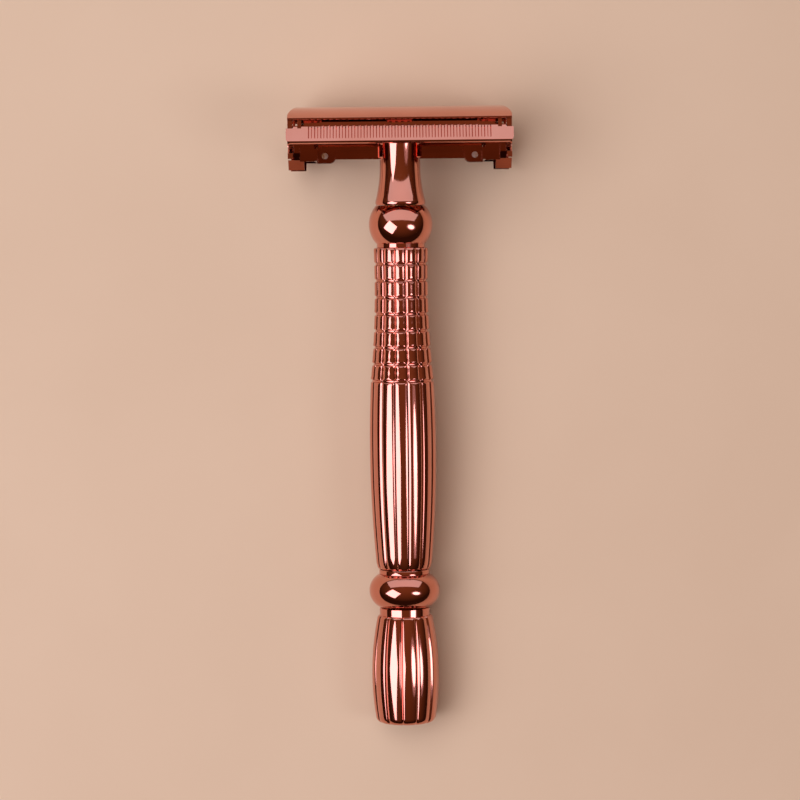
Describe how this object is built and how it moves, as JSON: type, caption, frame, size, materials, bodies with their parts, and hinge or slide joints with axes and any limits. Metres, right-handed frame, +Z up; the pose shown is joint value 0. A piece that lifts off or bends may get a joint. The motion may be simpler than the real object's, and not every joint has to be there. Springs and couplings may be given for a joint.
{
  "type": "safety razor",
  "caption": "Twist-to-open safety razor with a ribbed handle and a butterfly head whose two curved doors swing open for the blade.",
  "frame": {"origin": "on the table under the middle of the razor's box, lying on the edge of its rear guard and its knob", "axes": "+Y from the knob towards the head, level with the table; +X along the blade to the right; +Z up, out of the front of the razor. The handle's own axis rises 3.3 degrees from +Y"},
  "size_m": [0.0434, 0.1204, 0.0253],
  "materials": {
    "rose_gold_plate": "polished rose-gold plate",
    "door_plate": "polished rose-gold plate",
    "steel": "plain steel",
    "brass": "turned, unplated"
  },
  "bodies": {
    "handle": {"inner_tube": "brass", "neck": "rose_gold_plate", "upper_bead": "rose_gold_plate", "grip_sleeve": "rose_gold_plate", "lower_bead": "rose_gold_plate", "rod_bush": "brass", "thrust_washer": "steel", "spring_washer": "steel", "retaining_plug": "brass", "base_plate": "rose_gold_plate", "blade_bridge": "rose_gold_plate", "bridge_rivet_left": "rose_gold_plate", "bridge_rivet_right": "rose_gold_plate", "cam_stud_front_left": "steel", "cam_stud_front_right": "steel", "cam_stud_rear_left": "steel", "cam_stud_rear_right": "steel"},
    "knob": {"twist_knob": "rose_gold_plate", "drive_rod": "brass"},
    "crosshead": {"crosshead_stem": "brass", "crosshead_bar": "rose_gold_plate", "carrier_left": "rose_gold_plate", "carrier_right": "rose_gold_plate", "carrier_rivet_left": "steel", "carrier_rivet_right": "steel", "hinge_pin_front_left": "steel", "hinge_pin_front_right": "steel", "hinge_pin_rear_left": "steel", "hinge_pin_rear_right": "steel"},
    "door_front": {"door_front": "door_plate"},
    "door_rear": {"door_rear": "door_plate"}
  },
  "joints": [
    {"name": "knob_twist", "type": "hinge", "parent": "handle", "child": "knob", "pos_m": [0, -0.05993, 0.0061], "axis": [0, -0.9983, -0.0576], "range_deg": [0, 540]},
    {"name": "crosshead_slide", "type": "slide", "parent": "handle", "child": "crosshead", "axis": [0, 0.9983, 0.0576], "range_m": [0, 0.0032]},
    {"name": "door_front_hinge", "type": "hinge", "parent": "crosshead", "child": "door_front", "pos_m": [0, 0.05325, 0.02184], "axis": [1, 0, 0], "range_deg": [0, 82]},
    {"name": "door_rear_hinge", "type": "hinge", "parent": "crosshead", "child": "door_rear", "pos_m": [0, 0.05431, 0.00348], "axis": [1, 0, 0], "range_deg": [-82, 0]}
  ],
  "couplings": [
    {"joint": "crosshead_slide", "follows": "knob_twist", "m_per_rad": 0.00033953},
    {"joint": "door_front_hinge", "follows": "knob_twist", "ratio": 0.15185},
    {"joint": "door_rear_hinge", "follows": "knob_twist", "ratio": -0.15185}
  ]
}
